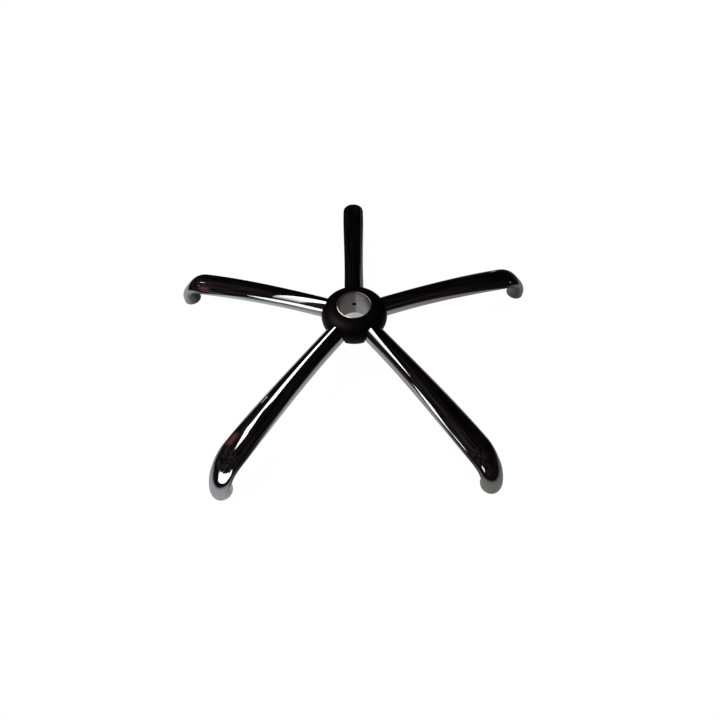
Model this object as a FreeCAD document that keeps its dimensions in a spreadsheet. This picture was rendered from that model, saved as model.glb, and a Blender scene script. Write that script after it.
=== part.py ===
import FreeCAD, Part
import math
import os
import Sketcher

# Office chair five star base: five chromed steel tube legs round a turned socket, with a moulded cover
# over the welded roots and a caster socket in each bent-down toe.
# Frame: the origin is on the socket's axis at floor level, +Z is up and the rear leg points along +Y.
# Millimetres throughout.

# Driving dimensions: name, value and what it sets.
SIZES = [
    ("leg_count", 5, "legs, evenly spaced"),
    ("rear_azimuth", 90, "degrees from +X to the rear leg"),
    ("leg_reach", 325, "socket axis to the outermost point of a toe"),
    ("leg_root_height", 59.5, "height of a leg's centre line, carried on to the socket axis"),
    ("leg_droop", 8.5, "degrees that the leg points down where the toe bend starts"),
    ("toe_bend_radius", 48.5, "centre line radius of the bend into the toe"),
    ("toe_straight", 2, "straight tube below the toe bend"),
    ("tube_radius", 15.6, "mean radius of the tube near the socket"),
    ("outer_radius", 16.9, "mean radius of the tube before the toe bend"),
    ("bend_radius", 13.6, "mean radius of the tube in the middle of the bend"),
    ("toe_radius", 14.5, "mean radius of the tube at the toe's mouth"),
    ("root_flattening", 0.3, "half the difference of width and height near the socket"),
    ("outer_flattening", 2.6, "the same before the toe bend"),
    ("bend_flattening", 4.4, "the same in the middle of the bend"),
    ("toe_flattening", 0.5, "the same at the toe's mouth"),
    ("tube_wall", 2, "wall of the leg tube"),
    ("mouth_radius", 25, "bore of the hub tube at its upper end"),
    ("socket_wall", 2, "wall of the hub tube at its upper end"),
    ("socket_above", 26.7, "upper end of the hub tube above the leg's root height"),
    ("socket_below", 21, "lower end of the hub tube below it"),
    ("mouth_chamfer", 0.8, "chamfer of the bore's upper edge"),
    ("rim_chamfer", 0.5, "chamfer of the hub tube's outer edges"),
    ("taper_angle", 1.4378, "degrees, half angle of the gas lift taper"),
    ("vent_radius", 2.3, "hole from the bore into each leg, which drains the plating bath"),
    ("weld_leg", 2.5, "size of the fillet weld round each root"),
    ("cover_offset", 1.6, "centre of the cover's round section outside the hub tube"),
    ("cover_round", 23.6, "outside radius of the cover's round section"),
    ("cover_lift", 2.6, "cover's widest line above the leg's root height"),
    ("cover_below", 16, "cover's open lower edge below it"),
    ("cover_wall", 2.5, "wall of the moulded cover"),
    ("collar_length", 4.5, "length of the cover's collar on the hub tube"),
    ("cover_clearance", 0.15, "gap between the cover's collar and the hub tube"),
    ("notch_clearance", 0.4, "gap between a notch of the cover and its leg"),
    ("plug_height", 24, "length of the plug in the toe"),
    ("plug_clearance", 0.05, "gap between the plug and the tube's inside"),
    ("stem_radius", 5.5, "bore of the caster socket"),
    ("stem_depth", 22, "length of the caster socket's bore"),
    ("stem_inset", 3, "socket axis inboard of the middle of the toe's mouth"),
    ("sleeve_wall", 1, "wall of the steel sleeve"),
    ("flange_radius", 7.4, "rim of the sleeve, let into the plug"),
    ("flange_thickness", 0.8, "thickness of that rim"),
    ("flange_recess", 0.3, "rim above the floor"),
    ("sleeve_clearance", 0.05, "gap between the sleeve and the plug"),
]

doc = FreeCAD.newDocument("five_star_base")
sheet = doc.addObject("Spreadsheet::Sheet", "Sizes")
for row, (alias, value, meaning) in enumerate(SIZES, start=1):
    sheet.set(f"A{row}", alias)
    sheet.set(f"B{row}", str(value))
    sheet.set(f"C{row}", meaning)
    sheet.setAlias(f"B{row}", alias)
doc.recompute()

AXIS_X = FreeCAD.Vector(1, 0, 0)
AXIS_Z = FreeCAD.Vector(0, 0, 1)

# Sizes that follow from the driving ones, so that the hub keeps together when one of them changes.
SOCKET_RADIUS = "(Sizes.mouth_radius + Sizes.socket_wall)"
SOCKET_TOP = "(Sizes.leg_root_height + Sizes.socket_above)"
SOCKET_BOTTOM = "(Sizes.leg_root_height - Sizes.socket_below)"
COVER_RING = f"({SOCKET_RADIUS} + Sizes.cover_offset)"
COVER_EQUATOR = "(Sizes.leg_root_height + Sizes.cover_lift)"
COVER_BOTTOM = "(Sizes.leg_root_height - Sizes.cover_below)"
COLLAR_BOTTOM = f"({COVER_EQUATOR} + Sizes.cover_round - Sizes.collar_length)"
COLLAR_INSIDE = f"({SOCKET_RADIUS} + Sizes.cover_clearance)"
COLLAR_OUTSIDE = f"({COLLAR_INSIDE} + Sizes.cover_wall)"
ROUND_INSIDE = "(Sizes.cover_round - Sizes.cover_wall)"
NOTCH_RADIUS = "(Sizes.tube_radius + Sizes.root_flattening + Sizes.notch_clearance)"
NOTCH_DEPTH = "(Sizes.cover_below + 2 * Sizes.cover_wall)"


def size(alias):
    """The value of a driving dimension as a plain number."""
    return float(sheet.get(alias))


def value(rule):
    """The value of an expression of the sheet's dimensions as a plain number."""
    return float(sheet.evalExpression(rule))


def origin_plane(body, role):
    """One of a body's own origin planes."""
    return [item for item in body.Origin.OriginFeatures if item.Role == role][0]


def new_body(name):
    """An empty PartDesign body that is one sub-part."""
    body = doc.addObject("PartDesign::Body", name)
    body.Label = name
    return body


def new_sketch(body, name, role):
    """A sketch flat on one of the body's origin planes."""
    sketch = body.newObject("Sketcher::SketchObject", name)
    sketch.AttachmentSupport = [(origin_plane(body, role), "")]
    sketch.MapMode = "FlatFace"
    return sketch


def bind(sketch, kind, geometry, name, rule):
    """Add a driving constraint on some geometry and bind it to an expression of the sheet."""
    index = sketch.addConstraint(Sketcher.Constraint(kind, *geometry, value(rule)))
    sketch.renameConstraint(index, name)
    sketch.setExpression(f"Constraints.{name}", rule)


def join_ends(sketch, count):
    """Close a ring of edges, each edge's end on the next one's start."""
    for edge in range(count):
        sketch.addConstraint(Sketcher.Constraint("Coincident", edge, 2, (edge + 1) % count, 1))


def draw_polygon(sketch, corners):
    """A closed outline whose corners are placed by expressions: (x rule, y rule)."""
    places = [FreeCAD.Vector(value(x_rule), value(y_rule), 0) for x_rule, y_rule in corners]
    for start, end in zip(places, places[1:] + places[:1]):
        sketch.addGeometry(Part.LineSegment(start, end))
    join_ends(sketch, len(corners))
    for edge, (x_rule, y_rule) in enumerate(corners):
        bind(sketch, "DistanceX", (-1, 1, edge, 1), f"corner_{edge}_x", x_rule)
        bind(sketch, "DistanceY", (-1, 1, edge, 1), f"corner_{edge}_y", y_rule)


def revolve(body, sketch, name):
    """Turn a half section in the XZ plane once round the Z axis."""
    turned = body.newObject("PartDesign::Revolution", name)
    turned.Profile = sketch
    turned.ReferenceAxis = (sketch, ["V_Axis"])
    turned.Angle = 360
    return turned


def polar(body, feature, name):
    """Repeat a feature once for each leg, evenly round the Z axis."""
    pattern = body.newObject("PartDesign::PolarPattern", name)
    pattern.Originals = [feature]
    pattern.Axis = (origin_plane(body, "Z_Axis"), [""])
    pattern.Angle = 360
    pattern.setExpression("Occurrences", "Sizes.leg_count")
    body.Tip = pattern
    return pattern


def volume_falls(before, feature):
    """A cut that misses the solid leaves no error, so its volume is compared."""
    doc.recompute()
    if not feature.Shape.Volume < before - 1:
        raise RuntimeError(f"{feature.Name} cut nothing")


# The leg's centre line in its own frame: x outward, z up. A shallow parabola runs from the socket's axis to
# the toe bend, a round bend turns it to point straight down, and a short straight ends at the floor.


def toe_middle():
    """Distance from the socket's axis to the middle of the toe's mouth."""
    return size("leg_reach") - size("toe_radius") + size("toe_flattening")


def bend_start():
    """Where the shallow arch ends and the toe bend starts."""
    droop = math.radians(size("leg_droop"))
    radius = size("toe_bend_radius")
    along = toe_middle() - radius * (1 - math.sin(droop))
    height = size("toe_straight") + radius * math.cos(droop)
    return along, height


def arch_curve():
    """The parabola's factor, which carries the arch through the root height at the socket's axis."""
    along, height = bend_start()
    droop = math.tan(math.radians(size("leg_droop")))
    return (droop * along + height - size("leg_root_height")) / along ** 2


def arch_point(along):
    """Centre and slope of the arch at a distance from the socket's axis."""
    end, height = bend_start()
    inboard = end - along
    fall = math.tan(math.radians(size("leg_droop")))
    curve = arch_curve()
    rise = height + fall * inboard - curve * inboard ** 2
    return along, rise, math.atan(2 * curve * inboard - fall)


def bend_point(share):
    """Centre and slope in the toe bend, from 0 at its start to 1 where it points down."""
    droop = math.radians(size("leg_droop"))
    angle = droop + share * (math.pi / 2 - droop)
    radius = size("toe_bend_radius")
    along = toe_middle() - radius * (1 - math.sin(angle))
    height = size("toe_straight") + radius * math.cos(angle)
    return along, height, -angle


def blend(first, second, share):
    """A value part of the way from the first size to the second."""
    return size(first) + (size(second) - size(first)) * share


def smooth(share):
    """Ease in and out, so that the flattening starts and ends gently."""
    return share * share * (3 - 2 * share)


ROOT_SHARE = 0.05
ARCH_SHARES = [ROOT_SHARE, 0.17, 0.29, 0.41, 0.53, 0.65, 0.77, 0.89, 1.0]
PLAIN_SHARE = 0.3
BEND_SHARES = [0.17, 0.34, 0.5, 0.67, 0.84, 1.0]


def leg_stations():
    """Centre, slope, half width and half height of the tube at each station from root to mouth."""
    stations = []
    for share in ARCH_SHARES:
        eased = smooth(max(0.0, (share - PLAIN_SHARE) / (1 - PLAIN_SHARE)))
        mean = blend("tube_radius", "outer_radius", eased)
        flat = blend("root_flattening", "outer_flattening", eased)
        stations.append((*arch_point(share * bend_start()[0]), mean + flat, mean - flat))
    for share in BEND_SHARES:
        if share <= 0.5:
            eased = smooth(2 * share)
            mean = blend("outer_radius", "bend_radius", eased)
            flat = blend("outer_flattening", "bend_flattening", eased)
        else:
            eased = smooth(2 * share - 1)
            mean = blend("bend_radius", "toe_radius", eased)
            flat = blend("bend_flattening", "toe_flattening", eased)
        stations.append((*bend_point(share), mean + flat, mean - flat))
    mouth = size("toe_radius")
    flat = size("toe_flattening")
    stations.append((toe_middle(), 0.0, -math.pi / 2, mouth + flat, mouth - flat))
    return stations


RING_POLES = 12
# The notch lines up with the leg where the cover's wall stands, this share of the round out from its centre.
NOTCH_SHARE = 0.7


def ring(station, outset):
    """Control points round one oval section, grown by the outset; the spline through them is the oval."""
    along, height, slope, half_width, half_height = station
    turn = 2 * math.pi / RING_POLES
    reach = 6 / (4 + 2 * math.cos(turn))
    points = []
    for index in range(RING_POLES):
        side = reach * (half_width + outset) * math.cos(index * turn)
        lift = reach * (half_height + outset) * math.sin(index * turn)
        points.append(FreeCAD.Vector(along - lift * math.sin(slope), side, height + lift * math.cos(slope)))
    return points


def lengthwise_knots(stations):
    """Distance along the centre line at each station."""
    knots = [0.0]
    for before, after in zip(stations, stations[1:]):
        knots.append(knots[-1] + math.hypot(after[0] - before[0], after[1] - before[1]))
    return knots


def tube_solid(stations, outset):
    """A closed solid whose skin is one smooth spline surface through the oval sections."""
    knots = lengthwise_knots(stations)
    rings = [ring(station, outset) for station in stations]
    columns = []
    for index in range(RING_POLES):
        curve = Part.BSplineCurve()
        curve.interpolate(Points=[row[index] for row in rings], Parameters=knots)
        columns.append(curve)
    along_knots = columns[0].getKnots()
    along_mults = columns[0].getMultiplicities()
    skin = Part.BSplineSurface()
    skin.buildFromPolesMultsKnots(
        [curve.getPoles() for curve in columns],
        [1] * (RING_POLES + 1), along_mults,
        [float(step) for step in range(RING_POLES + 1)], along_knots,
        True, False, 3, 3)
    side = skin.toShape()
    caps = []
    for row in (0, -1):
        poles = [columns[index].getPoles()[row] for index in range(RING_POLES)]
        rim = Part.BSplineCurve()
        rim.buildFromPolesMultsKnots(poles, [1] * (RING_POLES + 1),
                                     [float(step) for step in range(RING_POLES + 1)], True, 3)
        caps.append(Part.Face(Part.Wire([rim.toShape()])))
    shell = Part.makeShell([side] + caps)
    shell.sewShape()
    solid = Part.makeSolid(Part.Shell(shell.Faces))
    if solid.Volume < 0:
        solid.reverse()
    return solid


def floor_slab(height):
    """A slab over the whole base from the floor up to a height."""
    reach = 2 * size("leg_reach")
    return Part.makeBox(2 * reach, 2 * reach, height, FreeCAD.Vector(-reach, -reach, 0))


def upright(radius, bottom, top, along=0.0):
    """A round bar between two heights, its axis upright in the leg's own plane."""
    return Part.makeCylinder(radius, top - bottom, FreeCAD.Vector(along, 0, bottom), AXIS_Z)


def stem_axis():
    """Distance from the socket's axis to the caster stem's axis."""
    return toe_middle() - size("stem_inset")


def leg_shape():
    """A leg in its own frame: the hollow tube, coped to the round of the hub tube."""
    stations = leg_stations()
    skin = tube_solid(stations, 0.0)
    hollow = tube_solid(stations, -size("tube_wall"))
    cope = upright(value(SOCKET_RADIUS), value(SOCKET_BOTTOM) - size("tube_radius"),
                   value(SOCKET_TOP) + size("tube_radius"))
    return skin.cut(hollow).cut(cope)


def weld_shape():
    """The weld round one root: between the leg and the hub tube, up to the next leg's share."""
    root = leg_stations()[:4]
    bead = tube_solid(root, size("weld_leg"))
    inside = tube_solid(leg_stations(), 0.0)
    bottom = value(SOCKET_BOTTOM)
    top = value(SOCKET_TOP)
    half_share = math.pi / size("leg_count")
    reach = 2 * value(SOCKET_RADIUS)
    corner = FreeCAD.Vector(reach * math.cos(half_share), reach * math.sin(half_share), bottom)
    mirrored = FreeCAD.Vector(corner.x, -corner.y, bottom)
    hub_point = FreeCAD.Vector(0, 0, bottom)
    share = Part.Face(Part.makePolygon([hub_point, mirrored, corner, hub_point])).extrude(AXIS_Z * (top - bottom))
    ring_outside = upright(value(SOCKET_RADIUS) + size("weld_leg"), bottom, top)
    hub = upright(value(SOCKET_RADIUS), bottom - 1, top + 1)
    return bead.common(ring_outside).common(share).cut(inside).cut(hub)


def plug_shape():
    """The plug in a toe: the tube's inside up to the plug's height, bored and recessed for the sleeve."""
    stations = leg_stations()
    inside = tube_solid(stations, -size("tube_wall") - size("plug_clearance"))
    gap = size("sleeve_clearance")
    sleeve = upright(size("stem_radius") + size("sleeve_wall") + gap, -1, size("plug_height") + 1, stem_axis())
    rim_top = size("flange_recess") + size("flange_thickness") + gap
    rim = upright(size("flange_radius") + gap, -1, rim_top, stem_axis())
    return inside.common(floor_slab(size("plug_height"))).cut(sleeve).cut(rim)


def place_round(name, shape, index):
    """Put a piece of one leg at that leg's azimuth."""
    piece = doc.addObject("Part::Feature", name)
    piece.Label = name
    piece.Shape = shape
    azimuth = size("rear_azimuth") + 360 * index / size("leg_count")
    piece.Placement = FreeCAD.Placement(FreeCAD.Vector(0, 0, 0), FreeCAD.Rotation(AXIS_Z, azimuth))
    return piece


def build_hub_tube():
    """The turned socket: a tapered bore for the gas lift, with a vent hole into each leg."""
    body = new_body("hub_tube")
    body.Placement = FreeCAD.Placement(FreeCAD.Vector(0, 0, 0), FreeCAD.Rotation(AXIS_Z, size("rear_azimuth")))
    body.setExpression("Placement.Rotation.Angle", "Sizes.rear_azimuth")
    half = new_sketch(body, "hub_section", "XZ_Plane")
    foot = "(Sizes.mouth_radius - (Sizes.socket_above + Sizes.socket_below) * tan(Sizes.taper_angle))"
    draw_polygon(half, [
        (foot, SOCKET_BOTTOM),
        (f"{SOCKET_RADIUS} - Sizes.rim_chamfer", SOCKET_BOTTOM),
        (SOCKET_RADIUS, f"{SOCKET_BOTTOM} + Sizes.rim_chamfer"),
        (SOCKET_RADIUS, f"{SOCKET_TOP} - Sizes.rim_chamfer"),
        (f"{SOCKET_RADIUS} - Sizes.rim_chamfer", SOCKET_TOP),
        ("Sizes.mouth_radius + Sizes.mouth_chamfer", SOCKET_TOP),
        ("Sizes.mouth_radius - Sizes.mouth_chamfer * tan(Sizes.taper_angle)", f"{SOCKET_TOP} - Sizes.mouth_chamfer"),
    ])
    turned = revolve(body, half, "turned_tube")
    doc.recompute()
    solid_volume = turned.Shape.Volume
    vent = new_sketch(body, "vent_outline", "YZ_Plane")
    vent.addGeometry(Part.Circle(FreeCAD.Vector(0, size("leg_root_height"), 0), AXIS_Z, size("vent_radius")))
    vent.addConstraint(Sketcher.Constraint("PointOnObject", 0, 3, -2))
    bind(vent, "DistanceY", (-1, 1, 0, 3), "height", "Sizes.leg_root_height")
    bind(vent, "Radius", (0,), "radius", "Sizes.vent_radius")
    hole = body.newObject("PartDesign::Pocket", "vent_hole")
    hole.Profile = vent
    hole.Reversed = True
    hole.setExpression("Length", f"2 * {SOCKET_RADIUS}")
    volume_falls(solid_volume, hole)
    polar(body, hole, "vent_holes")
    return body


def build_hub_cover():
    """The moulded cover: a hollow round ring with a collar on the hub tube and a notch over each leg."""
    body = new_body("hub_cover")
    body.Placement = FreeCAD.Placement(FreeCAD.Vector(0, 0, 0), FreeCAD.Rotation(AXIS_Z, size("rear_azimuth")))
    body.setExpression("Placement.Rotation.Angle", "Sizes.rear_azimuth")
    half = new_sketch(body, "cover_section", "XZ_Plane")
    centre = FreeCAD.Vector(value(COVER_RING), value(COVER_EQUATOR), 0)
    round_outside = size("cover_round")
    round_inside = value(ROUND_INSIDE)
    drop = centre.y - value(COVER_BOTTOM)
    collar_inside = value(COLLAR_INSIDE)
    collar_outside = value(COLLAR_OUTSIDE)
    collar_bottom = value(COLLAR_BOTTOM)
    meeting = math.acos((collar_outside - centre.x) / round_inside)
    outer = Part.ArcOfCircle(Part.Circle(centre, AXIS_Z, round_outside), -math.asin(drop / round_outside), math.pi / 2)
    inner = Part.ArcOfCircle(Part.Circle(centre, AXIS_Z, round_inside), -math.asin(drop / round_inside), meeting)
    half.addGeometry(outer)
    ring_top = outer.EndPoint
    collar = [
        ring_top,
        FreeCAD.Vector(collar_inside, ring_top.y, 0),
        FreeCAD.Vector(collar_inside, collar_bottom, 0),
        FreeCAD.Vector(collar_outside, collar_bottom, 0),
        inner.EndPoint,
    ]
    for start, end in zip(collar, collar[1:]):
        half.addGeometry(Part.LineSegment(start, end))
    half.addGeometry(inner)
    half.addGeometry(Part.LineSegment(inner.StartPoint, outer.StartPoint))
    for first, first_end, second, second_end in [
            (0, 2, 1, 1), (1, 2, 2, 1), (2, 2, 3, 1), (3, 2, 4, 1), (4, 2, 5, 2), (5, 1, 6, 1), (6, 2, 0, 1)]:
        half.addConstraint(Sketcher.Constraint("Coincident", first, first_end, second, second_end))
    half.addConstraint(Sketcher.Constraint("Coincident", 5, 3, 0, 3))
    for edge, direction in [(1, "Horizontal"), (2, "Vertical"), (3, "Horizontal"), (4, "Vertical"), (6, "Horizontal")]:
        half.addConstraint(Sketcher.Constraint(direction, edge))
    half.addConstraint(Sketcher.Constraint("Vertical", 0, 3, 0, 2))
    bind(half, "DistanceX", (-1, 1, 0, 3), "ring", COVER_RING)
    bind(half, "DistanceY", (-1, 1, 0, 3), "equator", COVER_EQUATOR)
    bind(half, "Radius", (0,), "round_outside", "Sizes.cover_round")
    bind(half, "Radius", (5,), "round_inside", ROUND_INSIDE)
    bind(half, "DistanceX", (-1, 1, 2, 1), "collar_inside", COLLAR_INSIDE)
    bind(half, "DistanceX", (-1, 1, 4, 1), "collar_outside", COLLAR_OUTSIDE)
    bind(half, "DistanceY", (-1, 1, 3, 1), "collar_bottom", COLLAR_BOTTOM)
    bind(half, "DistanceY", (-1, 1, 6, 1), "cover_bottom", COVER_BOTTOM)
    turned = revolve(body, half, "round_ring")
    doc.recompute()
    solid_volume = turned.Shape.Volume
    notch = new_sketch(body, "notch_outline", "YZ_Plane")
    along = centre.x + round_outside * NOTCH_SHARE
    reach, height, slope = arch_point(along)
    notch.AttachmentOffset = FreeCAD.Placement(
        FreeCAD.Vector(0, height - reach * math.tan(slope), 0), FreeCAD.Rotation(AXIS_X, -math.degrees(slope)))
    radius = value(NOTCH_RADIUS)
    depth = value(NOTCH_DEPTH)
    notch.addGeometry(Part.ArcOfCircle(Part.Circle(FreeCAD.Vector(0, 0, 0), AXIS_Z, radius), 0, math.pi))
    left = FreeCAD.Vector(-radius, 0, 0)
    right = FreeCAD.Vector(radius, 0, 0)
    down = FreeCAD.Vector(0, -depth, 0)
    for start, end in [(left, left + down), (left + down, right + down), (right + down, right)]:
        notch.addGeometry(Part.LineSegment(start, end))
    join_ends(notch, 4)
    notch.addConstraint(Sketcher.Constraint("Coincident", 0, 3, -1, 1))
    for edge, direction in [(1, "Vertical"), (2, "Horizontal"), (3, "Vertical")]:
        notch.addConstraint(Sketcher.Constraint(direction, edge))
    notch.addConstraint(Sketcher.Constraint("Horizontal", 0, 1, 0, 2))
    bind(notch, "Radius", (0,), "radius", NOTCH_RADIUS)
    bind(notch, "Distance", (1,), "depth", NOTCH_DEPTH)
    cut = body.newObject("PartDesign::Pocket", "leg_notch")
    cut.Profile = notch
    cut.Reversed = True
    cut.setExpression("Length", f"{COVER_RING} + 2 * Sizes.cover_round")
    volume_falls(solid_volume, cut)
    polar(body, cut, "leg_notches")
    return body


def build_sleeve(name, index):
    """The steel sleeve that grips a caster's stem, with a thin rim at its mouth."""
    body = new_body(name)
    half = new_sketch(body, f"{name}_section", "XZ_Plane")
    rim_top = "Sizes.flange_recess + Sizes.flange_thickness"
    outside = "Sizes.stem_radius + Sizes.sleeve_wall"
    top = "Sizes.flange_recess + Sizes.stem_depth"
    draw_polygon(half, [
        ("Sizes.stem_radius", "Sizes.flange_recess"),
        ("Sizes.flange_radius", "Sizes.flange_recess"),
        ("Sizes.flange_radius", rim_top),
        (outside, rim_top),
        (outside, top),
        ("Sizes.stem_radius", top),
    ])
    revolve(body, half, f"{name}_turned")
    azimuth = math.radians(size("rear_azimuth") + 360 * index / size("leg_count"))
    place = FreeCAD.Vector(stem_axis() * math.cos(azimuth), stem_axis() * math.sin(azimuth), 0)
    body.Placement = FreeCAD.Placement(place, FreeCAD.Rotation(AXIS_Z, math.degrees(azimuth)))
    return body


def build_all():
    """Every sub-part of the base, in the order in which the real one is put together."""
    parts = [build_hub_tube()]
    leg = leg_shape()
    weld = weld_shape()
    plug = plug_shape()
    for index in range(int(size("leg_count"))):
        parts.append(place_round(f"leg_{index + 1}", leg, index))
        parts.append(place_round(f"root_weld_{index + 1}", weld, index))
        parts.append(place_round(f"toe_plug_{index + 1}", plug, index))
        parts.append(build_sleeve(f"stem_sleeve_{index + 1}", index))
    parts.append(build_hub_cover())
    return parts


def check(parts):
    """Stop if any object failed or any sub-part isn't one valid solid."""
    for item in doc.Objects:
        if "Invalid" in item.State or "Error" in item.State:
            raise RuntimeError(f"{item.Name} failed: {item.State}")
    for part in parts:
        if part.Shape.isNull() or not part.Shape.isValid() or len(part.Shape.Solids) != 1:
            raise RuntimeError(f"{part.Label} isn't one valid solid")


pieces = build_all()
doc.recompute()
check(pieces)
os.makedirs("parts", exist_ok=True)
for piece in pieces:
    piece.Shape.exportStep(f"parts/{piece.Label}.step")
    print(piece.Label, round(piece.Shape.Volume), [round(value, 1) for value in (
        piece.Shape.BoundBox.XMin, piece.Shape.BoundBox.XMax, piece.Shape.BoundBox.YMin,
        piece.Shape.BoundBox.YMax, piece.Shape.BoundBox.ZMin, piece.Shape.BoundBox.ZMax)])
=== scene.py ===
import math

import bpy
import numpy as np
from mathutils import Matrix, Vector


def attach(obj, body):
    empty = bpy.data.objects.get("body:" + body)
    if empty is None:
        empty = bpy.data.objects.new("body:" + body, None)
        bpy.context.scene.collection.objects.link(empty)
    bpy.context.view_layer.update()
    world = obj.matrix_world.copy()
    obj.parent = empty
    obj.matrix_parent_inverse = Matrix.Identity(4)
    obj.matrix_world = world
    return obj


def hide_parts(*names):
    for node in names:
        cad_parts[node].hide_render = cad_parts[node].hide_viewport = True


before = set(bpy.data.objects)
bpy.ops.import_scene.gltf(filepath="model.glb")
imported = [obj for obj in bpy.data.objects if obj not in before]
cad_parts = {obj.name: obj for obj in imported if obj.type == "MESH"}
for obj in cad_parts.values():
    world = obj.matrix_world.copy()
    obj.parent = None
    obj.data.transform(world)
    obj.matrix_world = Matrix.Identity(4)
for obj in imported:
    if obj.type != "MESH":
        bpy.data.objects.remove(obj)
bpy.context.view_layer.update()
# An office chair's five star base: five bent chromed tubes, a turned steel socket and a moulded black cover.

MM = 0.001

# Sizes of the base in millimetres, with heights from the floor. Each of the tube's sections is (mean radius,
# flattening): the half width is their sum and the half height their difference. The root's section stays
# over the first PLAIN_SHARE of the arch. A notch in the cover follows the tube's line at the radius where
# NOTCH_SHARE of the cover's roundness lies inside. The vents are wider here than drilled, so that they show.
LEGS = 5
REAR_AZIMUTH = 90.0
LEG_AZIMUTHS = [REAR_AZIMUTH + 360 * k / LEGS for k in range(LEGS)]
LEG_REACH = 325.0
ROOT_HEIGHT = 59.5
DROOP = math.radians(8.5)
BEND_RADIUS = 48.5
TOE_STRAIGHT = 2.0
TUBE_WALL = 2.0
LIP_ROUND = 0.5
TUBE = {"root": (15.6, 0.3), "outer": (16.9, 2.6), "bend": (13.6, 4.4), "toe": (14.5, 0.5)}
PLAIN_SHARE = 0.3
MOUTH_RADIUS = 25.0
SOCKET_RADIUS = MOUTH_RADIUS + 2.0
SOCKET_TOP = ROOT_HEIGHT + 26.7
SOCKET_BOTTOM = ROOT_HEIGHT - 21.0
MOUTH_CHAMFER = 0.8
RIM_CHAMFER = 0.5
TAPER = math.radians(1.4378)
VENT_RADIUS = 3.4
COVER_RING = SOCKET_RADIUS + 1.6
COVER_ROUND = 23.6
COVER_EQUATOR = ROOT_HEIGHT + 2.6
COVER_BOTTOM = ROOT_HEIGHT - 16.0
COVER_WALL = 2.5
COLLAR_BOTTOM = COVER_EQUATOR + COVER_ROUND - 4.5
COVER_CLEARANCE = 0.15
NOTCH_CLEARANCE = 0.4
NOTCH_SHARE = 0.7

TOE_MIDDLE = LEG_REACH - TUBE["toe"][0] + TUBE["toe"][1]
BEND_START = TOE_MIDDLE - BEND_RADIUS * (1 - math.sin(DROOP))
BEND_LENGTH = BEND_RADIUS * (math.pi / 2 - DROOP)
BEND_HEIGHT = TOE_STRAIGHT + BEND_RADIUS * math.cos(DROOP)
ARCH = (math.tan(DROOP) * BEND_START + BEND_HEIGHT - ROOT_HEIGHT) / BEND_START ** 2
LEG_LENGTH = BEND_START + BEND_LENGTH + TOE_STRAIGHT


# Meshes

def mesh_of(name, points, faces, material):
    """A smooth-shaded object of the given points (in mm) and quads, placed in its mesh."""
    mesh = bpy.data.meshes.new(name)
    mesh.from_pydata((points * MM).tolist(), [], faces.tolist())
    mesh.polygons.foreach_set("use_smooth", np.ones(len(mesh.polygons), bool))
    mesh.materials.append(material)
    mesh.update()
    made = bpy.data.objects.new(name, mesh)
    bpy.context.scene.collection.objects.link(made)
    return made


def closed_grid(name, grid, material):
    """A shell over a grid that closes in both directions.

    grid[i, j] is point j of ring i; face (i, j) joins rings i and i + 1 and points j and j + 1,
    counted round, so the last ring meets the first one and the shell has no open seam."""
    rows, count = grid.shape[:2]
    index = np.arange(rows * count).reshape(rows, count)
    below = np.roll(index, -1, axis=0)
    faces = np.stack([index, np.roll(index, -1, axis=1), np.roll(below, -1, axis=1), below], -1)
    return mesh_of(name, grid.reshape(-1, 3), faces.reshape(-1, 4), material)


def turned_about_z(points, azimuth):
    """The points turned about the column's axis by an azimuth in degrees."""
    angle = math.radians(azimuth)
    x, y, z = np.moveaxis(points, -1, 0)
    turned_x = x * math.cos(angle) - y * math.sin(angle)
    turned_y = x * math.sin(angle) + y * math.cos(angle)
    return np.stack([turned_x, turned_y, z], -1)


def smooth(share):
    """An even change from 0 to 1: 3 s^2 - 2 s^3 between 0 and 1."""
    share = np.clip(share, 0, 1)
    return share * share * (3 - 2 * share)


def mixed(first, second, share):
    """Mean radius and flattening part way between two of the tube's sections."""
    return [a + (b - a) * share for a, b in zip(TUBE[first], TUBE[second])]


def tube_section(share, turn):
    """The half width and half height of the oval tube.

    They change from the root's to the outer end's over the last part of the arch (share, 0 to 1), then to
    the bend's over the bend's first half (turn, 0 to 1) and to the toe's over its second half."""
    first_half, second_half = smooth(2 * turn), smooth(2 * turn - 1)
    mean, flat = mixed("root", "outer", smooth((share - PLAIN_SHARE) / (1 - PLAIN_SHARE)))
    steps = [("outer", "bend", first_half), ("bend", "toe", second_half)]
    for before, after, part in steps:
        mean = mean + (TUBE[after][0] - TUBE[before][0]) * part
        flat = flat + (TUBE[after][1] - TUBE[before][1]) * part
    return mean + flat, mean - flat


def leg_path(along):
    """The tube's middle line and section at a distance along it from the column's axis, as whole arrays.

    The first stretch is an arch, z = rise to the bend less the arch's fall, z(x) = h + t d - k d^2 with
    d the way still to go to the bend; then comes a quarter bend of one radius, then the straight toe.
    It gives x, z, the slope's angle, and the half width and half height of the oval section."""
    share = np.clip(along / BEND_START, 0, 1)
    to_go = BEND_START * (1 - share)
    turn = np.clip((along - BEND_START) / BEND_LENGTH, 0, 1)
    angle = DROOP + turn * (math.pi / 2 - DROOP)
    toe = np.clip(along - BEND_START - BEND_LENGTH, 0, None)
    in_arch = along <= BEND_START
    x = np.where(in_arch, BEND_START - to_go, TOE_MIDDLE - BEND_RADIUS * (1 - np.sin(angle)))
    z = np.where(in_arch, BEND_HEIGHT + math.tan(DROOP) * to_go - ARCH * to_go ** 2,
                 TOE_STRAIGHT + BEND_RADIUS * np.cos(angle) - toe)
    slope = np.where(in_arch, np.arctan(2 * ARCH * to_go - math.tan(DROOP)), -angle)
    return x, z, slope, *tube_section(share, turn)


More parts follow.
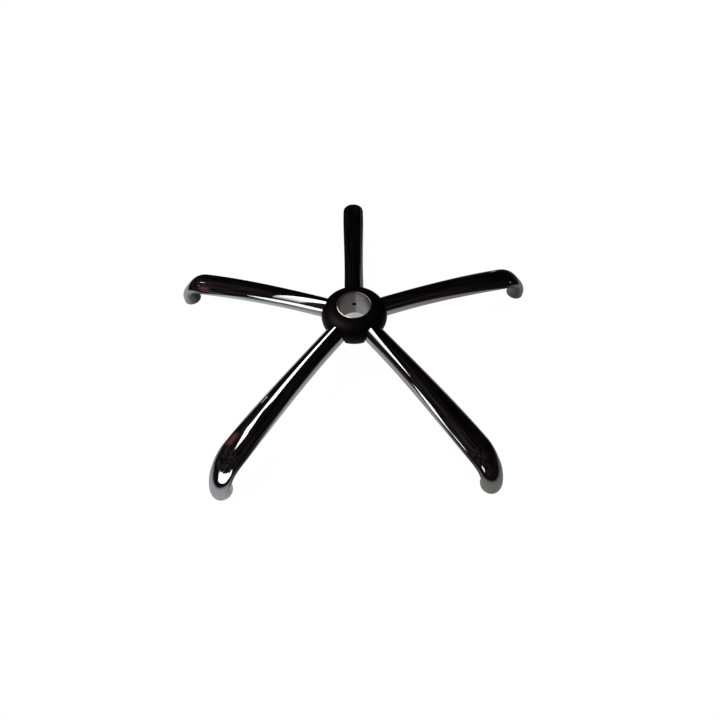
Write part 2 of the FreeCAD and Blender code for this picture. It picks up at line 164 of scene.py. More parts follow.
def tube_rings(share, inset, count):
    """Rings of the tube's skin from the socket's wall (share 0) to the toe's mouth (share 1).

    Each point starts where its own line along the tube meets the socket, a cylinder about the z axis,
    x0 = sqrt(R^2 - side^2), so that the root is coped to it, and all end at the mouth."""
    turn = np.linspace(0, 2 * np.pi, count, endpoint=False)[None, :]
    share = np.asarray(share, float)[:, None]
    root_mean, root_flat = TUBE["root"]
    side = (root_mean + root_flat - inset) * np.cos(turn)
    first_slope = math.atan(2 * ARCH * BEND_START - math.tan(DROOP))
    start = np.sqrt(SOCKET_RADIUS ** 2 - side ** 2)
    start = start + (root_mean - root_flat - inset) * np.sin(turn) * math.sin(first_slope)
    along = start + (LEG_LENGTH - start) * share
    x, z, slope, half_width, half_height = leg_path(along)
    side = (half_width - inset) * np.cos(turn)
    lift = (half_height - inset) * np.sin(turn)
    return np.stack([x - lift * np.sin(slope), side, z + lift * np.cos(slope)], -1)


def lip_rings(count):
    """Rings round the tube's open end, over its outer and then its inner rounded corner.

    At an angle a round a corner the ring is set in by r (1 - cos a) from its skin, and is r (1 - sin a)
    short of the mouth."""
    angles = np.linspace(0, math.pi / 2, 5)
    insets = LIP_ROUND * (1 - np.cos(angles))
    shares = 1 - LIP_ROUND / LEG_LENGTH * (1 - np.sin(angles))
    outer = [tube_rings([shares[k]], insets[k], count) for k in (1, 2, 3, 4)]
    inner = [tube_rings([shares[k]], TUBE_WALL - insets[k], count) for k in (3, 2, 1, 0)]
    return outer + inner


def leg_tube(name, azimuth, material):
    """One leg: the outer skin down to a rounded lip at the mouth, and back up along the inner wall."""
    count, outer_rows, inner_rows = 112, 300, 110
    lip_start = 1 - LIP_ROUND / LEG_LENGTH
    outside = tube_rings(np.linspace(0, lip_start, outer_rows), 0, count)
    inside = tube_rings(np.linspace(lip_start, 0, inner_rows), TUBE_WALL, count)
    grid = np.concatenate([outside, *lip_rings(count), inside])
    return closed_grid(name, turned_about_z(grid, azimuth), material)


def turned_profile(name, profile, count, material):
    """A ring turned from a closed profile of (radius, height) points about the column's axis."""
    turn = np.linspace(0, 2 * np.pi, count, endpoint=False)
    profile = np.asarray(profile, float)
    radius, height = profile[:, :1], profile[:, 1:]
    grid = np.stack([radius * np.cos(turn), radius * np.sin(turn), height + 0 * turn], -1)
    return closed_grid(name, grid, material)


def subdivided(corners, step):
    """The closed run of corners with points added between them, no further apart than a step in mm."""
    run = []
    for first, last in zip(corners, corners[1:] + corners[:1]):
        first, last = np.array(first), np.array(last)
        parts = max(1, math.ceil(np.linalg.norm(last - first) / step))
        run += [first + (last - first) * k / parts for k in range(parts)]
    return np.array(run)


def cut_with(piece, cutters):
    """Cut solids out of a piece and keep the result as the piece's own mesh."""
    for cutter in cutters:
        cut = piece.modifiers.new("cut", "BOOLEAN")
        cut.operation = "DIFFERENCE"
        cut.solver = "EXACT"
        cut.object = cutter
    bpy.context.view_layer.update()
    shaped = piece.evaluated_get(bpy.context.evaluated_depsgraph_get())
    mesh = bpy.data.meshes.new_from_object(shaped)
    piece.modifiers.clear()
    piece.data = mesh
    for cutter in cutters:
        bpy.data.objects.remove(cutter)


def softened(piece, width, segments, angle=35.0):
    """A small rounding on a piece's sharp edges, its width in mm, with normals kept flat on its faces."""
    rounding = piece.modifiers.new("rounding", "BEVEL")
    rounding.width = width * MM
    rounding.segments = segments
    rounding.limit_method = "ANGLE"
    rounding.angle_limit = math.radians(angle)
    rounding.harden_normals = True


def drill(name, radius, azimuth, material):
    """A plain round bar along a leg's middle, from inside the bore to beyond the socket's wall."""
    sides = 32
    start, end = 15.0, 40.0
    turn = np.linspace(0, 2 * np.pi, sides, endpoint=False)
    x = np.array([start, end])[:, None] + 0 * turn
    y = radius * np.cos(turn) + 0 * x
    z = ROOT_HEIGHT + radius * np.sin(turn) + 0 * x
    points = turned_about_z(np.stack([x, y, z], -1), azimuth).reshape(-1, 3)
    wall = [[k, (k + 1) % sides, sides + (k + 1) % sides, sides + k] for k in range(sides)]
    caps = [list(range(sides - 1, -1, -1)), list(range(sides, 2 * sides))]
    mesh = bpy.data.meshes.new(name)
    mesh.from_pydata((points * MM).tolist(), [], wall + caps)
    mesh.materials.append(material)
    made = bpy.data.objects.new(name, mesh)
    bpy.context.scene.collection.objects.link(made)
    return made


def hub_socket(material):
    """The turned socket: a bore that narrows downwards, a bevelled mouth, and a vent into each leg."""
    foot = MOUTH_RADIUS - (SOCKET_TOP - SOCKET_BOTTOM) * math.tan(TAPER)
    corners = [
        (foot, SOCKET_BOTTOM), (SOCKET_RADIUS - RIM_CHAMFER, SOCKET_BOTTOM),
        (SOCKET_RADIUS, SOCKET_BOTTOM + RIM_CHAMFER), (SOCKET_RADIUS, SOCKET_TOP - RIM_CHAMFER),
        (SOCKET_RADIUS - RIM_CHAMFER, SOCKET_TOP), (MOUTH_RADIUS + MOUTH_CHAMFER, SOCKET_TOP),
        (MOUTH_RADIUS - MOUTH_CHAMFER * math.tan(TAPER), SOCKET_TOP - MOUTH_CHAMFER),
    ]
    socket = turned_profile("socket_tube", subdivided(corners, 3.0)[::-1], 256, material)
    cut_with(socket, [drill(f"vent_{k}", VENT_RADIUS, leg, material) for k, leg in enumerate(LEG_AZIMUTHS)])
    softened(socket, 0.12, 2, 25.0)
    return socket


def cover_end(theta_top, theta_bottom, ring_round, azimuth):
    """How far down a round wall of the cover reaches at each azimuth from the nearest leg, as an angle.

    A point of the wall is at radius R + r cos a and height E + r sin a. The notch over a leg is a half
    circle with straight sides below it, swept along the leg, so its inside is where the distance from
    the leg's line is under the notch's radius; the wall ends at the first point that is inside."""
    steps = np.linspace(theta_top, theta_bottom, 1500)[:, None]
    radius = COVER_RING + ring_round * np.cos(steps)
    x, y = radius * np.cos(azimuth), radius * np.sin(azimuth)
    z = COVER_EQUATOR + ring_round * np.sin(steps) + 0 * azimuth
    at = COVER_RING + COVER_ROUND * NOTCH_SHARE
    reach, height, slope, _, _ = [float(v) for v in leg_path(np.array(at))]
    above = np.clip((z - height - (x - reach) * math.tan(slope)) * math.cos(slope), 0, None)
    notch = sum(TUBE["root"]) + NOTCH_CLEARANCE
    inside = np.hypot(y, above) - notch
    hit = np.argmax(inside < 0, axis=0)
    last_out = np.maximum(hit - 1, 0)
    columns = np.arange(len(azimuth))
    before, after = inside[last_out, columns], inside[hit, columns]
    part = before / np.where(before == after, 1, before - after)
    cut = steps[last_out, 0] + part * (steps[hit, 0] - steps[last_out, 0])
    return np.where(inside.min(axis=0) < 0, cut, theta_bottom)


def cover_azimuths():
    """Azimuths over one leg's fifth of the cover, which crowd together by the notch's steep sides."""
    half, notch_side = 180 / LEGS, 20.5
    even = np.linspace(-half, half, 151)[:-1]
    beyond = np.abs(even) - notch_side
    pull = 7.0 * np.exp(-(beyond / 6.0) ** 2)
    return np.radians(np.sort(even - np.sign(even) * pull * beyond / 9.0))


def hub_cover(material):
    """The moulded cover: a round ring about the column with a collar on the socket and a notch over each leg.

    Its grid runs down the outside to the lower edge or the notch, across the wall, up the inside to the
    collar and round it. The wall is at radius R + r cos a and height E + r sin a."""
    azimuth = cover_azimuths()
    drop = COVER_EQUATOR - COVER_BOTTOM
    inner_round = COVER_ROUND - COVER_WALL
    collar_in = SOCKET_RADIUS + COVER_CLEARANCE
    collar_out = collar_in + COVER_WALL
    meeting = math.acos((collar_out - COVER_RING) / inner_round)
    outer_end = cover_end(math.pi / 2, -math.asin(drop / COVER_ROUND), COVER_ROUND, azimuth)
    inner_end = cover_end(meeting, -math.asin(drop / inner_round), inner_round, azimuth)
    run = np.linspace(0, 1, 52)[:, None]

    def wall(first, last, ring_round):
        """Radii and heights of the rows of a round wall between two angles."""
        angle = first + (last - first) * run
        return COVER_RING + ring_round * np.cos(angle), COVER_EQUATOR + ring_round * np.sin(angle)

    out_radius, out_height = wall(math.pi / 2, outer_end[None, :], COVER_ROUND)
    in_radius, in_height = wall(inner_end[None, :], meeting, inner_round)
    flat = np.zeros_like(azimuth)[None, :]
    top = COVER_EQUATOR + COVER_ROUND
    radius = np.concatenate([out_radius, in_radius, flat + collar_out, flat + collar_in, flat + collar_in])
    height = np.concatenate([out_height, in_height, flat + COLLAR_BOTTOM, flat + COLLAR_BOTTOM, flat + top])
    sectors = []
    for leg in LEG_AZIMUTHS:
        turn = azimuth + math.radians(leg)
        sectors.append(np.stack([radius * np.cos(turn), radius * np.sin(turn), height], -1))
    cover = closed_grid("moulded_cover", np.concatenate(sectors, axis=1), material)
    softened(cover, 0.3, 2)
    return cover


# Materials

def paint(code):
    """A colour as the shader wants it, from its sRGB hex code."""
    parts = [int(code[k:k + 2], 16) / 255 for k in (1, 3, 5)]
    return (*[v / 12.92 if v <= 0.04045 else ((v + 0.055) / 1.055) ** 2.4 for v in parts], 1.0)


def node(tree, kind, inputs=None, **settings):
    """Add a shader node with its settings. An input takes a value, an output, or a node's first output."""
    made = tree.nodes.new("ShaderNode" + kind)
    for key, value in settings.items():
        setattr(made, key, value)
    for key, value in (inputs or {}).items():
        if isinstance(value, bpy.types.Node):
            value = value.outputs[0]
        if isinstance(value, bpy.types.NodeSocket):
            tree.links.new(value, made.inputs[key])
        else:
            made.inputs[key].default_value = value
    return made


def finish_named(name):
    """An empty material and its node tree."""
    made = bpy.data.materials.new(name)
    made.use_nodes = True
    made.node_tree.nodes.clear()
    return made, made.node_tree


def grain(tree, size, detail=2.0, stretch=(1, 1, 1)):
    """Noise whose lumps are about a size in mm across, on the object's own coordinates."""
    place = node(tree, "TexCoord").outputs["Object"]
    scaled = node(tree, "Mapping", {"Vector": place, "Scale": stretch})
    return node(tree, "TexNoise", {"Vector": scaled, "Scale": 1 / (size * MM), "Detail": detail})


def shaded(tree, relief, height, **inputs):
    """The surface's shader and its output, with a relief whose height is in mm."""
    inputs = {key.replace("_", " "): value for key, value in inputs.items()}
    bump = node(tree, "Bump", {"Height": relief, "Distance": height * MM, "Strength": 1.0})
    shader = node(tree, "BsdfPrincipled", {**inputs, "Normal": bump})
    node(tree, "OutputMaterial", {"Surface": shader})


def polished_chrome():
    """Chromium plate on bent and polished tube: a bright mirror, a little wavy from the bending."""
    made, tree = finish_named("polished_chrome_plate")
    haze = node(tree, "MapRange", {0: grain(tree, 14.0, 3.0), 1: 0.35, 2: 0.7, 3: 0.02, 4: 0.06})
    shaded(tree, grain(tree, 30.0, 1.0), 0.02, Base_Color=paint("#cbcbcb"), Metallic=1.0, Roughness=haze)
    return made


def moulded_plastic():
    """Black polypropylene from a lightly grained mould: satin, with a soft broad sheen."""
    made, tree = finish_named("satin_black_polypropylene")
    shaded(tree, grain(tree, 0.9), 0.02, Base_Color=paint("#040306"), Roughness=0.5, Specular_IOR_Level=0.15)
    return made


def turned_steel():
    """Mild steel, turned: fine rings round the bore, grey and without plating, with a painted rim highlight.

    The rim has a painted highlight in its colour on two opposite sides, where x y / r^2 is high, and more on
    the near side. The bore has painted shade on its left, where its colour is darker."""
    made, tree = finish_named("turned_mild_steel")
    rings = grain(tree, 1.2, 3.0, (0.02, 0.02, 1.0))
    x, y, z = node(tree, "SeparateXYZ", {0: node(tree, "TexCoord").outputs["Object"]}).outputs
    rim = node(tree, "MapRange", {0: z, 1: (SOCKET_TOP - 1.1) * MM, 2: (SOCKET_TOP - 0.7) * MM})

    # The rim's painted highlight: a mask high on two opposite sides, and more on the near one.
    xx, yy, xy = [node(tree, "Math", {0: a, 1: b}, operation="MULTIPLY") for a, b in ((x, x), (y, y), (x, y))]
    squares = node(tree, "Math", {0: xx, 1: yy}, operation="ADD")
    both_sides = node(tree, "Math", {0: xy, 1: squares}, operation="DIVIDE")
    both_sides = node(tree, "MapRange", {0: both_sides, 1: 0.0, 2: 0.4}, interpolation_type="SMOOTHSTEP")
    across = node(tree, "Math", {0: x, 1: y}, operation="ADD")
    near = node(tree, "MapRange", {0: across, 1: -20 * MM, 2: 20 * MM, 3: 1.0, 4: 0.3})
    glint = node(tree, "Math", {0: near, 1: both_sides}, operation="MULTIPLY")
    # cut is the rim's colour, from its dark tone to the bright tone of the painted highlight.
    cut = {0: glint, 6: paint("#383533"), 7: paint("#f4f1ec")}

    # dull is painted shade: the bore's colour grows darker towards its left.
    dull = node(tree, "MapRange", {0: x, 1: -1.0 * MM, 2: 6.0 * MM, 3: 0.40, 4: 1.0},
                interpolation_type="SMOOTHSTEP")
    patchy = node(tree, "MapRange", {0: rings, 1: 0.35, 2: 0.65, 3: 0.8, 4: 1.2})
    shade = node(tree, "Math", {0: dull, 1: patchy}, operation="MULTIPLY")
    bore = {0: shade, 6: paint("#343332"), 7: paint("#c2bfbb")}

    bore, cut = [node(tree, "Mix", tones, data_type="RGBA").outputs[2] for tones in (bore, cut)]
    base = node(tree, "Mix", {0: rim, 6: bore, 7: cut}, data_type="RGBA").outputs[2]
    roughness = node(tree, "MapRange", {0: rings, 1: 0.35, 2: 0.65, 3: 0.32, 4: 0.5})
    shaded(tree, rings, 0.02, Base_Color=base, Metallic=1.0, Roughness=roughness)
    return made


def plug_plastic():
    """Black nylon of the toe plugs, moulded and matt."""
    made, tree = finish_named("matt_black_nylon")
    shaded(tree, grain(tree, 1.5), 0.03, Base_Color=paint("#17181a"), Roughness=0.62)
    return made


def plated_steel():
    """Zinc-plated steel of the stem sleeves, drawn, slightly cloudy."""
    made, tree = finish_named("zinc_plated_steel")
    cloud = grain(tree, 4.0, 3.0)
    roughness = node(tree, "MapRange", {0: cloud, 1: 0.3, 2: 0.7, 3: 0.25, 4: 0.42})
    shaded(tree, cloud, 0.01, Base_Color=paint("#b9bcc0"), Metallic=1.0, Roughness=roughness)
    return made


def weld_bead():
    """A weld under the chrome: plated but dull, with the bead's ripples."""
    made, tree = finish_named("plated_weld_bead")
    shaded(tree, grain(tree, 2.2, 1.0), 0.35, Base_Color=paint("#8f9093"), Metallic=1.0, Roughness=0.42)
    return made


# Pieces

def dress_legs():
    """The five tubes, and the finishes of the plug, sleeve and weld that each of them carries."""
    chrome = polished_chrome()
    carried = {"toe_plug": plug_plastic(), "stem_sleeve": plated_steel(), "root_weld": weld_bead()}
    for k, azimuth in enumerate(LEG_AZIMUTHS, start=1):
        tube = leg_tube(f"leg_tube_{k}", azimuth, chrome)
        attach(tube, "root")
        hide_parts(f"leg_{k}")
        for name, finish in carried.items():
            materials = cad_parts[f"{name}_{k}"].data.materials
            materials.clear()
            materials.append(finish)


def dress_hub():
    """The socket in the middle and the cover round it."""
    socket = hub_socket(turned_steel())
    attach(socket, "root")
    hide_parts("hub_tube")
    cover = hub_cover(moulded_plastic())
    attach(cover, "root")
    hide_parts("hub_cover")


# Floor and room. All of their sizes are in metres.

# How bright the floor is to the camera by itself, and how much of the lamps' light it adds. It has a painted
# shadow under the hub, in a spot (x, y, radius, softness), where the cover and the legs keep the light off
# it.
FLOOR_WHITE = 0.965
FLOOR_LIT = 0.10
UNDER_HUB = (0.005, 0.045, 0.03, 0.024)
UNDER_HUB_WHITE = 0.36

# Pale paper that only the chrome shows: sheets (left, right, front, back, softness, brightness), round
# patches (x, y, radius, softness, brightness), and painted shadows by the legs and toes, where the paper
# is dimmed to a share.
PALE_SHEETS = [
    (-0.235, 0.28, -0.225, 0.085, 0.02, 1.0), (-0.285, -0.20, -0.04, 0.08, 0.02, 1.1),
    (-0.02, 0.30, 0.07, 0.32, 0.04, 0.62), (0.35, 2.50, 0.55, 2.50, 0.15, 0.32),
]
PALE_SPOTS = [
    (-0.225, -0.27, 0.10, 0.07, 0.78), (0.20, -0.27, 0.11, 0.08, 0.80), (-0.37, 0.115, 0.085, 0.03, 0.72),
    (0.37, 0.11, 0.075, 0.03, 0.72), (-0.445, -0.105, 0.03, 0.02, 0.95), (-0.31, -0.155, 0.05, 0.03, 0.75),
    (0.07, 0.36, 0.012, 0.008, 0.8),
]
PAINTED_SHADOW_SPOTS = [
    (-0.20, -0.13, 0.09, 0.05, 0.4), (-0.272, 0.092, 0.022, 0.015, 0.3), (-0.12, -0.262, 0.035, 0.02, 0.1),
    (0.11, -0.272, 0.03, 0.02, 0.1),
]
PAPER_LEFT, PAPER_RIGHT, BARE_FLOOR = "#cbcfd1", "#8a8987", "#151112"
FLOOR_HALF = 4000.0


def between(tree, value, low, high, soft):
    """1 where a value lies between two limits, with soft edges, else 0."""
    rise = node(tree, "MapRange", {0: value, 1: low - soft, 2: low + soft}, interpolation_type="SMOOTHSTEP")
    fall = node(tree, "MapRange", {0: value, 1: high - soft, 2: high + soft, 3: 1.0, 4: 0.0},
                interpolation_type="SMOOTHSTEP")
    return node(tree, "Math", {0: rise, 1: fall}, operation="MULTIPLY")


def spot(tree, place, x, y, radius, soft):
    """1 within a radius of a point of the floor, with a soft edge, else 0."""
    away = node(tree, "VectorMath", {0: place, 1: (x, y, 0)}, operation="DISTANCE").outputs["Value"]
    return node(tree, "MapRange", {0: away, 1: radius - soft, 2: radius + soft, 3: 1.0, 4: 0.0},
                interpolation_type="SMOOTHSTEP")


def paleness(tree, place):
    """How much pale paper lies at a place on the floor: the brightest sheet or patch, painted shadows,
    flecks.
    """
    part = node(tree, "SeparateXYZ", {0: place})
    patches = []
    for left, right, front, back, soft, share in PALE_SHEETS:
        across = between(tree, part.outputs["X"], left, right, soft)
        along = between(tree, part.outputs["Y"], front, back, soft)
        patches.append((node(tree, "Math", {0: across, 1: along}, operation="MULTIPLY"), share))
    for *where, share in PALE_SPOTS:
        patches.append((spot(tree, place, *where), share))
    pale = 0.0
    for patch, share in patches:
        patch = node(tree, "Math", {0: patch, 1: share}, operation="MULTIPLY")
        pale = node(tree, "Math", {0: pale, 1: patch}, operation="MAXIMUM")
    # Painted shadows by the legs and toes dim the paper to a share.
    painted_shadows = [node(tree, "MapRange", {0: spot(tree, place, *where), 3: 1.0, 4: share})
            for *where, share in PAINTED_SHADOW_SPOTS]
    flecks = node(tree, "MapRange", {0: grain(tree, 9.0, 4.0), 1: 0.35, 2: 0.65, 3: 0.82, 4: 1.12})
    for factor in (*painted_shadows, flecks):
        pale = node(tree, "Math", {0: pale, 1: factor}, operation="MULTIPLY")
    return pale


def floor_material():
    """White to the camera with the object's shadow, partly painted; in the chrome, pale paper on a dark
    floor.
    """
    made, tree = finish_named("studio_floor")
    path = node(tree, "LightPath")
    place = node(tree, "TexCoord").outputs["Object"]
    # Painted shadow under the hub: the floor's own glow drops to UNDER_HUB_WHITE inside the UNDER_HUB spot.
    own_white = node(tree, "MapRange", {0: spot(tree, place, *UNDER_HUB), 3: FLOOR_WHITE, 4: UNDER_HUB_WHITE})
    lit = node(tree, "BsdfDiffuse", {"Color": (FLOOR_LIT, FLOOR_LIT, FLOOR_LIT, 1)})
    white = node(tree, "Emission", {"Color": (1, 1, 1, 1), "Strength": own_white})
    seen = node(tree, "AddShader", {0: lit, 1: white})
    across = node(tree, "SeparateXYZ", {0: place}).outputs["X"]
    side = node(tree, "MapRange", {0: across, 1: -0.18, 2: 0.20})
    paper = {0: side, 6: paint(PAPER_LEFT), 7: paint(PAPER_RIGHT)}
    paper = node(tree, "Mix", paper, data_type="RGBA").outputs[2]
    tone = {0: paleness(tree, place), 6: paint(BARE_FLOOR), 7: paper}
    tone = node(tree, "Mix", tone, data_type="RGBA").outputs[2]
    mirrored = node(tree, "Emission", {"Color": tone, "Strength": 1.0})
    plain = node(tree, "BsdfDiffuse", {"Color": (0.5, 0.5, 0.5, 1)})
    gloss = node(tree, "MixShader", {0: path.outputs["Is Glossy Ray"], 1: plain, 2: mirrored})
    both = node(tree, "MixShader", {0: path.outputs["Is Camera Ray"], 1: gloss, 2: seen})
    node(tree, "OutputMaterial", {"Surface": both})
    return made


def floor():
    """A flat floor at the toes' height, wide enough to fill the picture."""
    corners = [(-1, -1, 0), (1, -1, 0), (1, 1, 0), (-1, 1, 0)]
    ground = mesh_of("floor", np.array(corners) * FLOOR_HALF, np.array([[0, 1, 2, 3]]), floor_material())


def room():
    """The room: white to the camera, dark and a little brown in the chrome, even light for plain surfaces.

    What the chrome shows is lighter towards the left and front, with soft patches of dim furniture."""
    world = bpy.data.worlds.new("studio_room")
    bpy.context.scene.world = world
    world.use_nodes = True
    tree = world.node_tree
    tree.nodes.clear()
    path = node(tree, "LightPath")
    way = node(tree, "TexCoord").outputs["Generated"]
    part = node(tree, "SeparateXYZ", {0: way})
    ahead = node(tree, "Math", {0: part.outputs["X"], 1: part.outputs["Y"]}, operation="ADD")
    left = node(tree, "MapRange", {0: ahead, 1: -1.0, 2: 0.9, 3: 1.0, 4: 0.0},
                interpolation_type="SMOOTHSTEP")
    tone = {0: left, 6: paint("#0a0808"), 7: paint("#241e20")}
    tone = node(tree, "Mix", tone, data_type="RGBA").outputs[2]
    patches = node(tree, "TexNoise", {"Vector": way, "Scale": 4.5, "Detail": 5.0, "Roughness": 0.65})
    level = node(tree, "MapRange", {0: patches, 1: 0.38, 2: 0.68, 3: 0.15, 4: 2.2},
                 interpolation_type="SMOOTHSTEP")
    soft = node(tree, "Background", {"Color": (1, 1, 1, 1), "Strength": 0.35})
    dark = node(tree, "Background", {"Color": tone, "Strength": level})
    white = node(tree, "Background", {"Color": (1, 1, 1, 1), "Strength": 1.0})
    gloss = node(tree, "MixShader", {0: path.outputs["Is Glossy Ray"], 1: soft, 2: dark})
    both = node(tree, "MixShader", {0: path.outputs["Is Camera Ray"], 1: gloss, 2: white})
    node(tree, "OutputWorld", {"Surface": both})


# Lamps

def shade_lamp(light, fade, ragged):
    """Soften a lamp's edges, as cloth in front of it does, and tear its upper edge.

    The light rises from nothing to full over the given shares of its size, from its left, right, lower and
    upper edges. The upper edge is ragged over a share of its height."""
    light.use_nodes = True
    tree = light.node_tree
    tree.nodes.clear()
    place = node(tree, "NewGeometry").outputs["Parametric"]
    part = node(tree, "SeparateXYZ", {0: place})
    strength = 1.0
    for k, share in enumerate(fade):
        if share:
            way = part.outputs[k // 2]
            edge, full = (0.0, share) if k % 2 == 0 else (1.0, 1.0 - share)
            rise = node(tree, "MapRange", {0: way, 1: edge, 2: full}, interpolation_type="SMOOTHSTEP")
            strength = node(tree, "Math", {0: strength, 1: rise}, operation="MULTIPLY")
    if ragged:
        stretched = node(tree, "VectorMath", {0: place, 1: (9.0, 1.2, 1.0)}, operation="MULTIPLY")
        tears = node(tree, "TexNoise", {"Vector": stretched, "Scale": 1.0, "Detail": 4.0, "Roughness": 0.7})
        reach = node(tree, "MapRange", {0: tears, 1: 0.38, 2: 0.62, 3: 1.0 - ragged, 4: 1.0})
        below = node(tree, "Math", {0: reach, 1: part.outputs[1]}, operation="SUBTRACT")
        below = node(tree, "MapRange", {0: below, 1: -0.02, 2: 0.02})
        strength = node(tree, "Math", {0: strength, 1: below}, operation="MULTIPLY")
    glow = node(tree, "Emission", {"Strength": strength})
    node(tree, "OutputLight", {0: glow})


def lamp(name, place, facing, size, brightness, code="#ffffff", turn=0.0, fade=(0, 0, 0, 0), ragged=0.0,
         only=()):
    """A flat rectangular lamp; its brightness is what a perfect mirror shows, 1 for white.

    It shines along the facing direction. Its width lies level and its height runs up, or along Y where it
    faces straight down, and it can be turned about its own axis, in degrees. Its edges may fade or be
    ragged, as in shade_lamp. With a list of pieces it is flagged off from all others."""
    width, height = size
    light = bpy.data.lights.new(name, "AREA")
    light.shape = "RECTANGLE"
    light.size, light.size_y = width, height
    light.energy = brightness * math.pi * width * height
    light.color = paint(code)[:3]
    if any(fade) or ragged:
        shade_lamp(light, fade, ragged)
    made = bpy.data.objects.new(name, light)
    bpy.context.scene.collection.objects.link(made)
    made.visible_camera = False
    back = -Vector(facing).normalized()
    up = Vector((0, 1, 0)) if abs(back.z) > 0.99 else Vector((0, 0, 1))
    right = up.cross(back).normalized()
    axes = Matrix((right, back.cross(right), back)).transposed().to_4x4()
    made.matrix_world = Matrix.Translation(place) @ axes @ Matrix.Rotation(math.radians(turn), 4, "Z")
    if only:
        lit = bpy.data.collections.new("lit_by_" + name)
        for piece in only:
            lit.objects.link(bpy.data.objects[piece])
        made.light_linking.receiver_collection = lit


BACK, LEFT, FRONT_LEFT, FRONT_RIGHT, RIGHT = [f"leg_tube_{k}" for k in range(1, LEGS + 1)]
DOWN, RIGHTWARD, BACKWARD, FORWARD = (0, 0, -1), (1, 0, 0), (0, 1, 0), (0, -1, 0)
DAYLIGHT, WARM, RED_BROWN = "#eef4ff", "#ffdfda", "#ff8c90"
OVERHEAD, HIGH_OVERHEAD = 0.80, 0.90
LEFT_WALL, FRONT_WALL = -0.60, -1.0

# Small points of light that a toe or a leg shows: the leg, the lamp's place, its side and its brightness.
GLINTS = [
    (LEFT, (-0.92, 0.36, 0.75), 0.028, 3.0), (LEFT, (-1.07, -0.06, 0.63), 0.03, 1.2),
    (RIGHT, (1.20, -0.25, 0.24), 0.08, 1.0), (RIGHT, (1.20, -0.19, 0.36), 0.05, 0.9),
    (RIGHT, (0.55, 1.05, 0.06), 0.03, 1.6), (FRONT_LEFT, (-0.95, 0.67, 0.33), 0.05, 3.0),
]


def softboxes():
    """Lamps overhead, which give the legs their long white bands."""
    lamp("softbox_back", (-0.30, 0.66, OVERHEAD), DOWN, (0.334, 1.27), 3.0, turn=-6.6, fade=(0.35, 0, 0, 0),
         only=(FRONT_LEFT, "socket_tube", "floor"))
    lamp("softbox_corner", (-0.375, -0.042, OVERHEAD), DOWN, (0.10, 0.28), 3.0, turn=24.7, only=(FRONT_LEFT,))
    lamp("softbox_tip", (-0.384, -0.085, OVERHEAD), DOWN, (0.075, 0.415), 3.0, turn=39.3, only=(FRONT_LEFT,))
    lamp("softbox_left", (-0.453, -0.118, OVERHEAD), DOWN, (0.176, 1.67), 3.0, turn=-32.8, fade=(0, 0, 1, 0),
         only=(LEFT,))
    lamp("softbox_near", (-0.528, 0.194, OVERHEAD), DOWN, (0.367, 0.92), 3.0, turn=-33.7, fade=(1, 0, 0, 0),
         only=(FRONT_RIGHT,))


def windows():
    """Windows at the left and in front, and two dim red-brown cards, which the toes and low sides show."""
    lamp("window_left", (LEFT_WALL, -0.719, 0.258), RIGHTWARD, (0.627, 0.413), 2.0, DAYLIGHT, turn=40.9,
         only=(LEFT,))
    lamp("window_low", (LEFT_WALL, -0.513, 0.132), RIGHTWARD, (0.151, 0.453), 2.2, DAYLIGHT, turn=22.1,
         only=(FRONT_RIGHT,))
    lamp("window_edge", (LEFT_WALL, -0.699, 0.0), RIGHTWARD, (0.102, 0.23), 2.0, DAYLIGHT, turn=5.0,
         only=(FRONT_RIGHT,))
    lamp("band_front", (-0.756, FRONT_WALL, 0.085), BACKWARD, (1.52, 0.263), 2.6, turn=2.7,
         fade=(0.27, 0.12, 0, 0), ragged=0.42, only=(FRONT_LEFT,))
    lamp("window_front", (0.305, FRONT_WALL, 0.121), BACKWARD, (0.168, 0.111), 1.6, turn=-29,
         fade=(0, 0.06, 0.18, 0), only=(FRONT_RIGHT,))
    lamp("brown_card", (-0.42, -0.015, 0.135), RIGHTWARD, (0.05, 0.17), 0.15, RED_BROWN, turn=31.6,
         fade=(0.4, 0.4, 0.1, 0.4), only=(LEFT,))
    lamp("tall_brown_card", (-0.42, -0.04, 0.23), RIGHTWARD, (0.06, 0.38), 0.13, RED_BROWN, turn=-8.0,
         fade=(0.3, 0.3, 0.1, 0.5), only=(FRONT_LEFT,))
    lamp("wall_behind", (1.75, 1.6, 0.25), FORWARD, (0.8, 0.5), 0.17, fade=(0, 0.5, 0, 0.6), only=(BACK,))


def hub_lamps():
    """A warm lamp for the cover's sheen and one for the socket's bright rim."""
    lamp("window_hub", (-0.64, -0.10, 0.85), (0.64, 0.10, -0.78), (0.40, 0.40), 10.0, WARM,
         only=("moulded_cover",))
    lamp("softbox_rim", (0.0, 0.75, 1.1), (0, -0.75, -1.0), (0.5, 0.5), 5.0, only=("socket_tube",))


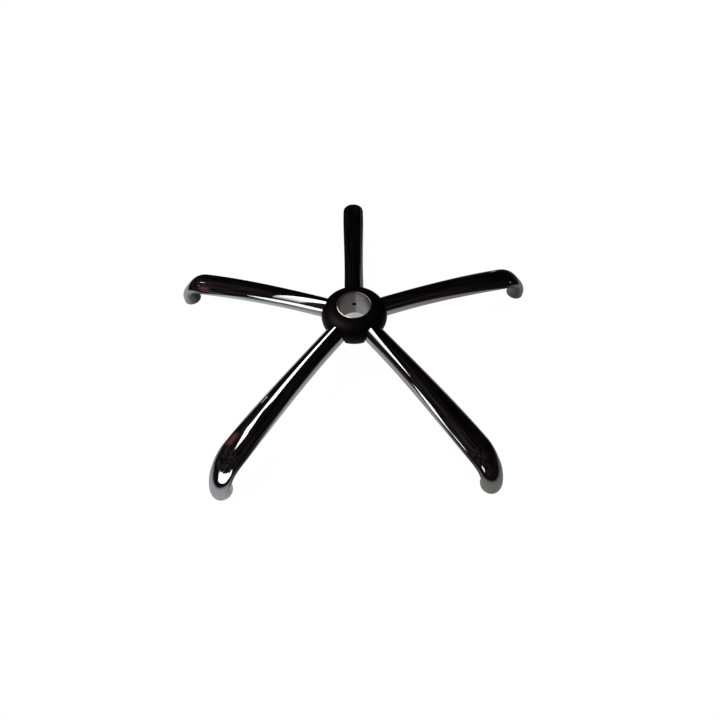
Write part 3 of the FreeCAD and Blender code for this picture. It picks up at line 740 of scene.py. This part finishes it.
def side_lamps():
    """Lamps that the legs show only to someone who looks from the sides or from behind."""
    for side, leg in ((-1, LEFT), (1, RIGHT)):
        lamp("softbox_rear", (0.3 * side, -0.45, HIGH_OVERHEAD), DOWN, (0.28, 1.1), 2.0, only=(BACK,))
        lamp("softbox_side", (-0.2 * side, -0.81, HIGH_OVERHEAD), DOWN, (0.6, 0.26), 2.0, turn=18.0 * side,
             only=(leg,))


def glints():
    """The small points of light, each facing the base."""
    for leg, place, side, brightness in GLINTS:
        lamp("glint", place, -Vector(place), (side, side), brightness, DAYLIGHT, only=(leg,))


# Camera: angles in degrees, distance and aim in millimetres, focal length and shift in picture points.
PICTURE = 720
SENSOR = 36.0
CAMERA = {"focal": 422.35, "azimuth": -1.435, "elevation": 54.296, "distance": 661.9,
          "aim": (16.46, -40.79, 45.7), "roll": 0.049, "shift": (5.3, -18.78)}


def camera():
    """The photograph's view, from in front and above, aimed near the middle of the base."""
    azimuth, elevation = math.radians(CAMERA["azimuth"]), math.radians(CAMERA["elevation"])
    level = math.cos(elevation)
    back = Vector((math.sin(azimuth) * level, -math.cos(azimuth) * level, math.sin(elevation)))
    place = (Vector(CAMERA["aim"]) + CAMERA["distance"] * back) * MM
    right = Vector((math.cos(azimuth), math.sin(azimuth), 0))
    up = back.cross(right)
    roll = math.radians(CAMERA["roll"])
    right, up = math.cos(roll) * right + math.sin(roll) * up, math.cos(roll) * up - math.sin(roll) * right
    data = bpy.data.cameras.new("camera")
    data.sensor_width = SENSOR
    data.lens = CAMERA["focal"] / PICTURE * SENSOR
    data.shift_x, data.shift_y = -CAMERA["shift"][0] / PICTURE, CAMERA["shift"][1] / PICTURE
    data.clip_start, data.clip_end = 0.01, 50.0
    made = bpy.data.objects.new("camera", data)
    bpy.context.scene.collection.objects.link(made)
    made.matrix_world = Matrix.Translation(place) @ Matrix((right, up, back)).transposed().to_4x4()
    bpy.context.scene.camera = made


dress_legs()
dress_hub()
floor()
room()
softboxes()
windows()
hub_lamps()
side_lamps()
glints()
camera()
bpy.context.scene.view_settings.view_transform = "Standard"
